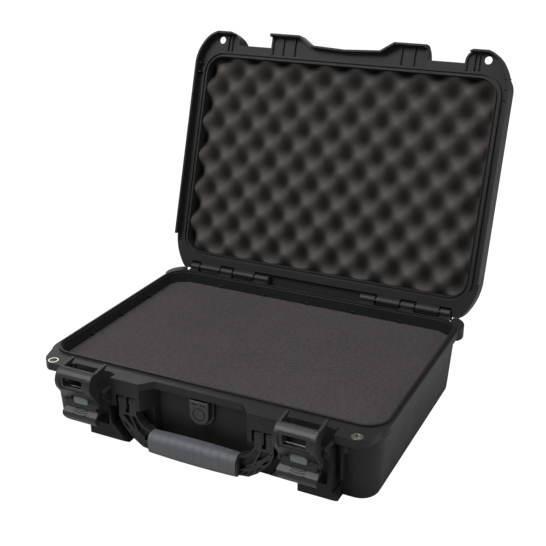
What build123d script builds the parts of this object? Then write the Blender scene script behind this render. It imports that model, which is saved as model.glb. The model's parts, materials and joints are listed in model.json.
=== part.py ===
"""Hard equipment case, standing open: base, lid, foam, carrying handle and two claw latches.

The origin is the centre of the resting face, below the middle of the cavity.
+X is the case's right, -Y its front and +Z up. Sizes are in millimetres.
A "drop" is measured down from the rim, where base and lid part, and a "rise" up from it.
A "reach" is measured forward from the front of the cavity.
"""

import os
from math import cos, pi, radians, sin

from build123d import *

os.makedirs("parts", exist_ok=True)

# ---- Case body ---------------------------------------------------------------------
cavity_length = 424.0  # inside, left to right
cavity_width = 287.0  # inside, front to rear
cavity_corner = 24.0
base_depth = 90.0  # resting face to rim
lid_depth = 58.0  # rim to crown
wall = 4.5
draft = 4.0  # degrees, on all the walls
front_reach = 15.3  # the front's corner zones
bottom_round = 8.0
crown_round = 9.0
cavity_floor_round = 6.0
parting_gap = 0.3
lid_open_angle = 107.5  # degrees from closed

# ---- Rim of the base ---------------------------------------------------------------
rim_overhang = 7.7  # from the cavity, on the sides and the rear
rim_front_reach = 15.7
rim_height = 12.0
rim_round = 2.0
tongue_setback = 1.8  # from the cavity
tongue_width = 2.2
tongue_height = 2.6
groove_clearance = 0.6  # around the tongue
groove_depth = 6.0
gasket_height = 3.2

# ---- Underside ---------------------------------------------------------------------
sole_width = 30.0  # the ring that the case stands on
sole_height = 1.5
sole_rib_width = 24.0  # across the middle of the underside
sole_panel_corner = 8.0
core_front_wall = 3.0
core_width = 7.5
core_top_drop = 14.0
core_rib = 3.0
core_pitch = 36.0
core_end = cavity_length / 2 - 42.0  # half length of the row of cores
core_clear = 62.0  # half width of the middle, which has none

# ---- Front of the base -------------------------------------------------------------
fascia_reach = 30.3
fascia_drop = 72.0
fascia_inner = 70.0
fascia_outer = cavity_length / 2 - 41.0
fascia_sole_reach = 6.0
recess_inner = 57.0  # the centre recess is this wide at its back
recess_top_drop = 9.5
foot_drop = 82.0
foot_sole_reach = 18.8
left_foot = (70.0 - cavity_length / 2, 117.0 - cavity_length / 2)
right_foot = (cavity_length / 2 - 81.0, cavity_length / 2 - 38.0)
side_rib_x = cavity_length / 2 - 35.0
side_rib_width = 2.4
side_rib_drop = 66.0
side_rib_reach = 21.0
finger_x = cavity_length / 2 - 28.0  # rib under the padlock lug
finger_profile = ((20.0, 1.0), (30.3, 1.0), (30.3, 18.0), (29.0, 20.5), (26.5, 21.5), (20.0, 21.5))

# ---- Padlock lugs ------------------------------------------------------------------
padlock_x = cavity_length / 2 - 17.0
padlock_reach = 23.4
padlock_inner = cavity_length / 2 - 40.0
padlock_lug_reach = 31.0
padlock_lug_plan = ((-15.0, 31.0), (-6.8, 25.0), (-1.0, 13.8), (5.5, -8.0))  # from the cavity's side
padlock_lug_height = 10.0
sleeve_bore = 4.6
sleeve_wall = 0.8
sleeve_flange = 6.4
sleeve_flange_height = 0.9
rear_ear_plan = ((7.5, -18.5), (10.5, -12.5), (9.0, 4.5), (-2.0, 17.7))  # from the cavity's corner
rear_ear_inner = 9.0  # inside the cavity's side
rear_ear_height = 15.0

# ---- Hinge -------------------------------------------------------------------------
hinge_setback = 22.7  # from the rear of the cavity to the axis
hinge_rise = 1.5
hinge_inner = cavity_length / 2 - 141.6
knuckle_lengths = (21.6, 33.0, 19.0, 32.0, 13.5)  # base, lid, base, lid, base
knuckle_gap = 2.0
knuckle_radius = 5.6
hinge_pin_radius = 2.0
running_clearance = 0.05
lug_drop = 14.0
lid_rear_clearance = 8.0  # from the hinge axis to the lid's rear edge
cover_front = 10.0  # the plate behind the knuckles, from the hinge axis
cover_rear = 9.5
cover_clearance = 0.6  # over the knuckles
cover_thickness = 2.4

# ---- Foam --------------------------------------------------------------------------
foam_clearance = 0.5
foam_top_drop = 14.0
foam_sheet = 30.0
foam_joint = 0.3
crate_pitch_x = 45.8  # egg-crate foam, pit to pit
crate_pitch_y = 49.7
crate_phase_x = 15.2  # a pit lies here
crate_phase_y = -122.8
crate_middle_rise = 12.0
crate_amplitude = 9.5

# ---- Foam tabs on the cavity's wall ------------------------------------------------
foam_tab_pitch = 68.0
foam_tab_width = 4.0
foam_tab_reach = 3.2
foam_tab_height = 3.0
foam_tab_drop = 10.2

# ---- Vent valve --------------------------------------------------------------------
vent_half_width = 12.5
vent_top_drop = 13.2
vent_height = 30.0
vent_plate = 5.0
vent_neck = 1.8
vent_neck_inset = 2.5
vent_back_margin = 3.5
vent_back = 3.2
vent_stub_radius = 6.0
vent_bore = 4.0
vent_retainer_radius = 9.0
vent_retainer_height = 2.0
membrane_height = 0.8

# ---- Handle ------------------------------------------------------------------------
handle_axis_reach = 21.3
handle_axis_drop = 28.5
handle_pin_radius = 2.5
handle_pin_end_wall = 1.2
pad_outer = 108.0
pad_drop = 36.0
prong_clearance = 1.3
prong_radius = 7.0
slot_web = 2.4
slot_web_x = 89.0
slot_top_drop = 20.0
arm_outer = 101.0
arm_inner = 77.0
arm_depth = 12.0
arm_skin = 2.4
arm_web = 2.4
arm_root_drop = 44.0
arm_bay_reach = 12.3
arm_bay_outer = 112.0
arm_bay_drop = 66.0
arm_bay_foot = 84.0
grip_half_length = 57.0
grip_reach = 25.3
grip_drop = 73.5
grip_height = 29.0
grip_depth = 23.0
grip_corner = 9.0
grip_end_slimmer = 1.6
bar_height = 16.0
bar_depth = 9.0

# ---- Latches -----------------------------------------------------------------------
latch_x = cavity_length / 2 - 72.2
claw_half_width = 24.5
claw_cheek = 3.5
claw_edge_round = 1.4
claw_pin_reach = 37.3
claw_pin_drop = 20.0
claw_boss_radius = 5.0
window_half_width = 13.5
window_frame = 4.8
lever_pin_reach = 42.8
lever_pin_drop = 33.5
latch_pin_radius = 1.7
stub_pin_start = 13.2
pocket_clearance = 1.5
pocket_shoulder = 5.6
pocket_shoulder_drop = 14.0
pocket_drop = 64.0
pocket_reach = 18.3
shoulder_reach = 20.3
ear_clearance = 0.7
ear_thickness = 5.0
ear_radius = 5.5
ear_root = 16.0
barrel_radius = 3.6
lever_boss_radius = 4.4
barrel_clearance = 0.4
tab_half_width = 24.9
tab_foot_half_width = 21.0
tab_corner = 6.0
boss_half_width = 11.6
boss_front = 3.6
boss_back = 2.8
boss_top = 10.0
button_width = 19.5
button_height = 9.0
button_depth = 3.6
button_rise = 3.6  # of its middle over the lever's pin
button_proud = 1.6
button_travel = 2.0
button_clearance = 0.35
spring_radius = 1.8
spring_wall = 0.5
spring_gap = 0.2
smile_rib_count = 3
smile_rib_pitch = 2.9
smile_rib_start = -0.2
smile_rib_sag = 1.2
smile_rib_half_length = 9.0
smile_rib_width = 0.8
smile_rib_height = 0.8

# ---- Lid ---------------------------------------------------------------------------
skirt_height = 24.0  # above the rim
skirt_drop = 8.5  # below the rim
skirt_wall = 2.8
skirt_clearance = 1.0  # around the base's lugs
lid_overhang = 17.3  # from the cavity, on the sides
lip_overhang = 7.4  # the ring that meets the base
lip_height = 3.5
channel_rise = 3.0  # floor of the channel between ring and skirt
lug_plate_rise = 6.0
skirt_end = 45.0  # ahead of the hinge axis
channel_end = 34.0
lid_floor = 4.5
lid_centre_reach = 21.7
lid_flare = ((latch_x - 89.3, 24.1), (latch_x - 70.8, 36.4))  # towards the latches
block_lid_reach = 36.4
block_profile = ((36.2, 3.0), (35.2, 8.0), (31.0, 16.0), (26.5, 21.0), (21.0, 24.0))
flare_rise = 12.0
block_ribs = (latch_x - 62.3, latch_x - 44.3)
gap_inner = latch_x - 25.4
gap_outer = latch_x + 25.8
latch_gap_reach = 11.0
ledge_reach = 17.3  # the latches hook over this ledge
ledge_height = 2.2
lid_lug_reach = 35.0
gusset_profile = ((34.8, 3.0), (33.4, 7.5), (30.6, 15.5), (26.5, 23.8), (21.2, 30.2), (4.0, 36.0))
lug_corner_low = ((-32.3, 35.0), (-19.3, 28.3), (-10.0, 17.7), (-3.3, 4.5), (0.0, -14.0))
lug_corner_high = ((-29.3, 16.5), (-18.5, 13.6), (-9.5, 6.5), (-2.6, -2.8), (0.0, -14.0))
rear_corner = ((0.0, -50.0), (-2.9, -27.4), (-11.9, -6.8), (-15.6, -1.2), (-19.9, 3.3))
rear_corner_gap = 1.0  # beside the outermost knuckle
lid_lug_end = ((0.0, 17.5), (3.0, 29.0), (11.0, 35.0))  # from the latch gap
lug_ribs = (cavity_length / 2 - 35.0, cavity_length / 2 - 29.0)
lug_rib_width = 1.6
side_ribs = (2.0, -11.0, -24.0)
side_rib_clearance = 1.8
lid_padlock_hole = 5.2
lid_lug_rise = 14.0
crown_panel_x = 150.0
crown_panel_y = 88.0
crown_panel_corner = 12.0
crown_panel_depth = 2.0
plate_x = 52.0
plate_y = 20.0
plate_corner = 4.0
plate_height = 1.2
ridge_count = 5
ridge_width = 7.0
ridge_pitch = 17.0
ridge_start = 68.0
ridge_half_length = 72.0
boss_radius = 11.0
boss_height = 1.6
boss_x = 182.0
boss_y = 112.0

# ---- Places worked out from these --------------------------------------------------
front = -cavity_width / 2
rear = cavity_width / 2
rim = base_depth
hinge_y = rear + hinge_setback
hinge_z = rim + hinge_rise
GROUND = Plane.XY
SIDE = Plane.YZ
LID = Plane(
    origin=(0, hinge_y, hinge_z),
    x_dir=(1, 0, 0),
    z_dir=(0, sin(radians(lid_open_angle)), cos(radians(lid_open_angle))),
)
LID_SIDE = Plane(origin=LID.origin, x_dir=LID.y_dir, z_dir=(1, 0, 0))


def reach(distance):
    """Y of a point this far in front of the cavity."""
    return front - distance


def drop(distance):
    """Z of a point this far below the rim."""
    return rim - distance


def lid_y(y):
    """Y in the lid's own plane of a point whose Y, with the lid closed, is given."""
    return y - hinge_y


def lid_z(rise):
    """Z in the lid's own plane of a height above the rim."""
    return rise - hinge_rise


def prism(plane, points, start, end, mode=Mode.ADD):
    """Extrude a closed outline between two offsets of its plane."""
    with BuildSketch(plane.offset(start)) as outline:
        with BuildLine():
            Polyline(points, close=True)
        make_face()
    extrude(outline.sketch, amount=end - start, mode=mode)


def block(plane, x_span, y_span, z_span, radius=0.0, mode=Mode.ADD):
    """Extrude a rectangle, with round corners if a radius is given."""
    width = x_span[1] - x_span[0]
    height = y_span[1] - y_span[0]
    middle = ((x_span[0] + x_span[1]) / 2, (y_span[0] + y_span[1]) / 2)
    with BuildSketch(plane.offset(z_span[0])) as outline:
        with Locations(middle):
            if radius:
                RectangleRounded(width, height, radius)
            else:
                Rectangle(width, height)
    extrude(outline.sketch, amount=z_span[1] - z_span[0], mode=mode)


def rod(plane, centre, radius, start, end, mode=Mode.ADD):
    """Extrude a disc between two offsets of its plane."""
    with BuildSketch(plane.offset(start)) as outline:
        with Locations(centre):
            Circle(radius)
    extrude(outline.sketch, amount=end - start, mode=mode)


def tub(plane, margin, front_margin, start, end, corner, taper=0.0, mode=Mode.ADD):
    """Extrude the cavity's outline, grown by the margins, with the walls drafted by taper."""
    middle = (margin - front_margin) / 2
    if plane is LID:
        middle = lid_y(middle)
    with BuildSketch(plane.offset(start)) as outline:
        with Locations((0, middle)):
            RectangleRounded(
                cavity_length + 2 * margin, cavity_width + margin + front_margin, corner
            )
    extrude(outline.sketch, amount=end - start, taper=taper, mode=mode)


def flipped(points, side):
    """Mirror a list of points across the middle of the case."""
    return [(side * point[0], point[1]) for point in points]


def span(side, near, far):
    """X range between two distances from the middle, on one side of the case."""
    return (side * near, side * far) if side > 0 else (side * far, side * near)


def arcs(points):
    """Draw an arc through each three points of a list, end to end."""
    for first in range(0, len(points) - 2, 2):
        ThreePointArc(*points[first : first + 3])


def knuckle_spans():
    """X ranges of the hinge knuckles on the right, from the inside out."""
    spans = []
    start = hinge_inner
    for length in knuckle_lengths:
        spans.append((start, start + length))
        start += length + knuckle_gap
    return spans


hinge_outer = knuckle_spans()[-1][1]

# ---- Base shell --------------------------------------------------------------------
with BuildPart() as base_shell:
    block(
        GROUND,
        (-cavity_length / 2 - rim_overhang, cavity_length / 2 + rim_overhang),
        (reach(rim_front_reach), rear + rim_overhang),
        (drop(rim_height), rim),
        cavity_corner + rim_overhang,
    )
    fillet(base_shell.edges().group_by(Axis.Z)[0], rim_round)
    tub(GROUND, wall, front_reach, rim, 0, cavity_corner + wall, draft)
    fillet(base_shell.edges().group_by(Axis.Z)[0], bottom_round)

    # The two fascia blocks, with a low foot under each.
    for side, foot in ((-1, left_foot), (1, right_foot)):
        fascia = [
            (reach(wall), drop(0)),
            (reach(fascia_reach), drop(0)),
            (reach(fascia_reach), drop(fascia_drop)),
            (reach(fascia_sole_reach), 0),
            (reach(0), 0),
        ]
        prism(SIDE, fascia, *span(side, fascia_inner, fascia_outer))
        sole = [
            (reach(wall), drop(fascia_drop)),
            (reach(fascia_reach), drop(fascia_drop)),
            (reach(fascia_reach), drop(foot_drop)),
            (reach(foot_sole_reach), 0),
            (reach(wall), 0),
        ]
        prism(SIDE, sole, *foot)
        flare = [
            (side * recess_inner, reach(wall)),
            (side * recess_inner, reach(rim_front_reach)),
            (side * fascia_inner, reach(fascia_reach)),
            (side * fascia_inner, reach(wall)),
        ]
        prism(GROUND, flare, 0, rim)

        # Padlock lug, with a short rib under it and a long one beside the fascia.
        lug_start, lug_middle, lug_end, lug_side = [
            (side * (cavity_length / 2 + x), reach(forward)) for x, forward in padlock_lug_plan
        ]
        with BuildSketch(GROUND.offset(drop(padlock_lug_height))) as lug_plan:
            with BuildLine():
                Polyline(
                    lug_start,
                    (side * padlock_inner, reach(padlock_lug_reach)),
                    (side * padlock_inner, reach(wall)),
                    (side * (cavity_length / 2 - cavity_corner), reach(wall)),
                    (side * (cavity_length / 2 + 1), reach(-cavity_corner)),
                    lug_side,
                    lug_end,
                )
                ThreePointArc(lug_end, lug_middle, lug_start)
            make_face()
        extrude(lug_plan.sketch, amount=padlock_lug_height)
        rib = [
            (reach(wall), drop(1)),
            (reach(fascia_reach), drop(1)),
            (reach(fascia_reach), drop(padlock_lug_height)),
            (reach(side_rib_reach), drop(padlock_lug_height + 6)),
            (reach(side_rib_reach), drop(side_rib_drop - 6)),
            (reach(wall), drop(side_rib_drop)),
        ]
        prism(SIDE, rib, *span(side, side_rib_x, side_rib_x + side_rib_width))

        finger = [(reach(forward), drop(low)) for forward, low in finger_profile]
        prism(SIDE, finger, *span(side, finger_x, finger_x + side_rib_width))

        # Rounded ear at the rear corner.
        ear_points = [(side * (cavity_length / 2 + x), rear + back) for x, back in rear_ear_plan]
        rear_root = side * (cavity_length / 2 - rear_ear_inner)
        with BuildSketch(GROUND.offset(drop(rear_ear_height))) as ear_plan:
            with BuildLine():
                ThreePointArc(*ear_points[1:])
                Polyline(
                    ear_points[3],
                    (rear_root, ear_points[3][1]),
                    (rear_root, ear_points[0][1]),
                    ear_points[0],
                    ear_points[1],
                )
            make_face()
        extrude(ear_plan.sketch, amount=rear_ear_height)

    # The middle of the front is set back to the cavity's own wall, below the rim.
    middle_recess = [
        (-recess_inner, reach(wall)),
        (-fascia_inner, reach(fascia_reach)),
        (-fascia_inner, reach(fascia_reach + 1)),
        (fascia_inner, reach(fascia_reach + 1)),
        (fascia_inner, reach(fascia_reach)),
        (recess_inner, reach(wall)),
    ]
    prism(GROUND, middle_recess, -1, drop(recess_top_drop), Mode.SUBTRACT)

    for side in (-1, 1):
        # Bay for the handle's arm, slots for its two prongs, and the hole for its pin.
        arm_bay = [
            (recess_inner - 2, drop(pad_drop)),
            (arm_bay_outer, drop(pad_drop)),
            (arm_bay_outer - 1.5, drop(arm_bay_drop - 6)),
            (arm_bay_outer - 10, drop(arm_bay_drop + 3)),
            (arm_bay_foot, -1),
            (recess_inner - 2, -1),
        ]
        front_plane = Plane.XZ.offset(-reach(arm_bay_reach))
        prism(front_plane, flipped(arm_bay, side), 0, fascia_reach, Mode.SUBTRACT)
        slot_inner = arm_inner - prong_clearance
        slot_outer = arm_outer + prong_clearance
        slots = (
            (slot_inner, slot_web_x - slot_web / 2),
            (slot_web_x + slot_web / 2, slot_outer),
        )
        for near, far in slots:
            slot_y = (reach(fascia_reach + 1), reach(arm_bay_reach))
            slot_z = (drop(pad_drop + 1), drop(slot_top_drop))
            block(GROUND, span(side, near, far), slot_y, slot_z, mode=Mode.SUBTRACT)
        rod(
            SIDE,
            (reach(handle_axis_reach), drop(handle_axis_drop)),
            handle_pin_radius + running_clearance,
            *span(side, fascia_inner + handle_pin_end_wall, pad_outer - handle_pin_end_wall),
            mode=Mode.SUBTRACT,
        )

        # Latch pocket with its wider shoulder, and the two ears that carry the claw.
        centre = side * latch_x
        half_pocket = claw_half_width + pocket_clearance
        half_shoulder = half_pocket + pocket_shoulder
        block(
            GROUND,
            (centre - half_pocket, centre + half_pocket),
            (reach(fascia_reach + 1), reach(pocket_reach)),
            (drop(pocket_drop), rim + 1),
            mode=Mode.SUBTRACT,
        )
        block(
            GROUND,
            (centre - half_shoulder, centre + half_shoulder),
            (reach(fascia_reach + 1), reach(shoulder_reach)),
            (drop(pocket_shoulder_drop), rim + 1),
            mode=Mode.SUBTRACT,
        )
        for ear_side in (-1, 1):
            near = centre + ear_side * (claw_half_width + ear_clearance)
            far = near + ear_side * ear_thickness
            ear_span = (min(near, far), max(near, far))
            ear_web = [
                (reach(fascia_reach - 1), drop(claw_pin_drop - ear_radius)),
                (reach(claw_pin_reach), drop(claw_pin_drop - ear_radius)),
                (reach(claw_pin_reach), drop(claw_pin_drop + ear_radius)),
                (reach(fascia_reach - 1), drop(claw_pin_drop + ear_root)),
            ]
            prism(SIDE, ear_web, *ear_span)
            pin_centre = (reach(claw_pin_reach), drop(claw_pin_drop))
            rod(SIDE, pin_centre, ear_radius, *ear_span)
            pin_hole = latch_pin_radius + running_clearance
            rod(SIDE, pin_centre, pin_hole, *ear_span, mode=Mode.SUBTRACT)

        # Hinge lugs and knuckles.
        hinge_centre = (hinge_y, hinge_z)
        for number, knuckle in enumerate(knuckle_spans()):
            if number % 2:
                continue
            lug = [
                (rear + wall, drop(lug_drop)),
                (rear + wall, drop(parting_gap)),
                (hinge_y - knuckle_radius, drop(parting_gap)),
                hinge_centre,
                (hinge_y + 3.6, hinge_z - 4.2),
                (rear + rim_overhang + 3, drop(lug_drop)),
            ]
            prism(SIDE, lug, *span(side, *knuckle))
            rod(SIDE, hinge_centre, knuckle_radius, *span(side, *knuckle))
            hole = hinge_pin_radius + running_clearance
            rod(SIDE, hinge_centre, hole, *span(side, *knuckle), mode=Mode.SUBTRACT)

        # Hole and counterbore for the padlock sleeve.
        sleeve_centre = (side * padlock_x, reach(padlock_reach))
        flange_z = drop(sleeve_flange_height)
        sleeve_hole = sleeve_bore + sleeve_wall
        lug_foot = drop(padlock_lug_height)
        rod(GROUND, sleeve_centre, sleeve_hole, lug_foot - 1, rim + 1, mode=Mode.SUBTRACT)
        rod(GROUND, sleeve_centre, sleeve_flange, flange_z, rim + 1, mode=Mode.SUBTRACT)

    # Cavity, sealing tongue and the hole for the vent.
    tub(GROUND, 0, 0, rim, wall, cavity_corner, draft, Mode.SUBTRACT)
    cavity_floor = base_shell.faces().filter_by_position(Axis.Z, wall - 0.01, wall + 0.01)
    fillet(cavity_floor.edges(), cavity_floor_round)
    tab_z = (drop(foam_tab_drop + foam_tab_height), drop(foam_tab_drop))
    half_tab = foam_tab_width / 2
    for side in (-1, 1):
        for number in range(-2, 3):
            tab_x = number * foam_tab_pitch
            tab_y = span(side, cavity_width / 2 - foam_tab_reach, cavity_width / 2 + 1)
            block(GROUND, (tab_x - half_tab, tab_x + half_tab), tab_y, tab_z)
        for number in range(-1, 2):
            tab_y = number * foam_tab_pitch
            tab_x = span(side, cavity_length / 2 - foam_tab_reach, cavity_length / 2 + 1)
            block(GROUND, tab_x, (tab_y - half_tab, tab_y + half_tab), tab_z)
    tongue_outer = tongue_setback + tongue_width
    tongue_corner = cavity_corner + tongue_setback
    with BuildSketch(GROUND.offset(rim)) as tongue:
        RectangleRounded(
            cavity_length + 2 * tongue_outer,
            cavity_width + 2 * tongue_outer,
            cavity_corner + tongue_outer,
        )
        RectangleRounded(
            cavity_length + 2 * tongue_setback,
            cavity_width + 2 * tongue_setback,
            tongue_corner,
            mode=Mode.SUBTRACT,
        )
    extrude(tongue.sketch, amount=tongue_height)
    vent_middle = drop(vent_top_drop + vent_height / 2)
    VENT = Plane(origin=(0, reach(wall), vent_middle), x_dir=(1, 0, 0), z_dir=(0, -1, 0))
    rod(VENT, (0, 0), vent_stub_radius + running_clearance, -30, 1, mode=Mode.SUBTRACT)
    counterbore = vent_retainer_radius + 0.3
    rod(VENT, (0, 0), counterbore, -30, -wall + vent_retainer_height, mode=Mode.SUBTRACT)

    # Cores in the thick front wall, and the shallow panel inside the sole.
    core_y = (reach(front_reach - core_front_wall - draft), 0)
    core_y = (core_y[0], core_y[0] + core_width)
    core_start = core_clear
    while core_start + core_pitch - core_rib <= core_end:
        for side in (-1, 1):
            core_x = span(side, core_start, core_start + core_pitch - core_rib)
            block(GROUND, core_x, core_y, (-1, drop(core_top_drop)), mode=Mode.SUBTRACT)
        core_start += core_pitch
    panel_x = cavity_length / 2 - sole_width
    panel_y = cavity_width / 2 - sole_width
    for panel_span in ((-panel_y, -sole_rib_width / 2), (sole_rib_width / 2, panel_y)):
        panel_z = (-1, sole_height)
        block(
            GROUND, (-panel_x, panel_x), panel_span, panel_z, sole_panel_corner, Mode.SUBTRACT
        )
base_shell.part.label = "base_shell"

# ---- Padlock sleeves in the base ---------------------------------------------------
with BuildPart() as base_padlock_sleeves:
    for side in (-1, 1):
        sleeve_centre = (side * padlock_x, reach(padlock_reach))
        sleeve_foot = drop(padlock_lug_height + sleeve_flange_height)
        flange_foot = drop(sleeve_flange_height)
        rod(GROUND, sleeve_centre, sleeve_bore + sleeve_wall, sleeve_foot, rim)
        rod(GROUND, sleeve_centre, sleeve_flange, flange_foot, rim)
        rod(GROUND, sleeve_centre, sleeve_bore, sleeve_foot, rim, mode=Mode.SUBTRACT)
base_padlock_sleeves.part.label = "base_padlock_sleeves"

# ---- Foam in the base: two cubed sheets over a plain pad ----------------------------
foam_sheets = {}
foam_tops = (
    ("pick_foam_top", foam_top_drop, foam_sheet),
    ("pick_foam_lower", foam_top_drop + foam_sheet + foam_joint, foam_sheet),
    (
        "base_foam_pad",
        foam_top_drop + 2 * (foam_sheet + foam_joint),
        base_depth - wall - foam_joint - foam_top_drop - 2 * (foam_sheet + foam_joint),
    ),
)
for name, top_drop, thickness in foam_tops:
    inset = foam_clearance + top_drop * sin(radians(draft)) / cos(radians(draft))
    with BuildPart() as sheet:
        top = drop(top_drop)
        corner = cavity_corner - inset
        tub(GROUND, -inset, -inset, top, top - thickness, corner, draft)
        if name == "base_foam_pad":
            sheet_foot = sheet.edges().group_by(Axis.Z)[0]
            chamfer(sheet_foot, cavity_floor_round - foam_clearance)
    sheet.part.label = name
    foam_sheets[name] = sheet.part

# ---- Vent valve --------------------------------------------------------------------


def vent_outline(margin):
    """The vent's plate: a flat top with square corners and a round bottom."""
    half = vent_half_width + margin
    top = vent_height / 2 + margin
    straight = top - vent_height - 2 * margin + half
    with BuildLine() as border:
        Polyline((-half, straight), (-half, top), (half, top), (half, straight))
        ThreePointArc((half, straight), (0, straight - half), (-half, straight))
    make_face(border.edges())


with BuildPart() as vent_body:
    plate_steps = (
        (vent_back_margin, 0, vent_back),
        (-vent_neck_inset, vent_back, vent_neck),
        (0, vent_back + vent_neck, vent_plate),
    )
    for margin, start, height in plate_steps:
        with BuildSketch(VENT.offset(start)):
            vent_outline(margin)
        extrude(amount=height)
    vent_front = vent_back + vent_neck + vent_plate
    fillet(vent_body.faces().sort_by(Axis.Y)[0].edges(), 1.2)
    rod(VENT, (0, 0), vent_stub_radius, -wall, 0)
    rod(VENT, (0, 0), vent_bore, -wall, vent_front - 2, mode=Mode.SUBTRACT)
    with BuildSketch(VENT.offset(vent_front - 1.2)):
        with Locations((0, -1.5)):
            Circle(8.2)
            Circle(7.0, mode=Mode.SUBTRACT)
        with Locations((-5.5, 10.5), (5.5, 10.5)):
            SlotOverall(7.0, 1.8)
    extrude(amount=2, mode=Mode.SUBTRACT)
vent_body.part.label = "vent_body"

with BuildPart() as vent_membrane:
    rod(VENT, (0, 0), vent_bore, 0, membrane_height)
vent_membrane.part.label = "vent_membrane"

with BuildPart() as vent_retainer:
    rod(VENT, (0, 0), vent_retainer_radius, -wall, -wall + vent_retainer_height)
    rod(VENT, (0, 0), vent_stub_radius, -wall, 0, mode=Mode.SUBTRACT)
vent_retainer.part.label = "vent_retainer"

# ---- Hinge pins --------------------------------------------------------------------
with BuildPart() as hinge_pins:
    for side in (-1, 1):
        rod(SIDE, (hinge_y, hinge_z), hinge_pin_radius, *span(side, hinge_inner, hinge_outer))
hinge_pins.part.label = "hinge_pins"

# ---- Lid shell ---------------------------------------------------------------------
side_x = cavity_length / 2 + lid_overhang
lid_rear_y = -lid_rear_clearance


def lid_band(block_points, corner, inner_end=()):
    """Plan of the lid's rim: middle, blocks beside the latch gaps, lugs, corners and rear."""
    corner_points = [(side_x + x, lid_y(reach(forward))) for x, forward in corner]
    rear_points = [(side_x + x, y) for x, y in rear_corner]
    gap_y = lid_y(reach(latch_gap_reach))
    with BuildLine() as border:
        Polyline(
            (0, lid_rear_y),
            (0, lid_y(reach(lid_centre_reach))),
            *[(x, lid_y(reach(forward))) for x, forward in block_points],
            (gap_inner, gap_y),
            (gap_outer, gap_y),
        )
        if inner_end:
            end_points = [(gap_outer + x, lid_y(reach(forward))) for x, forward in inner_end]
            Line((gap_outer, gap_y), end_points[0])
            arcs(end_points)
            Line(end_points[-1], corner_points[0])
        else:
            Polyline((gap_outer, gap_y), (gap_outer, corner_points[0][1]), corner_points[0])
        arcs(corner_points)
        Line(corner_points[-1], rear_points[0])
        arcs(rear_points)
        Polyline(
            rear_points[-1],
            (hinge_outer + rear_corner_gap, rear_points[-1][1]),
            (hinge_outer + rear_corner_gap, lid_rear_y),
            (0, lid_rear_y),
        )
    make_face(border.edges())
    mirror(about=Plane.YZ)


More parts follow.
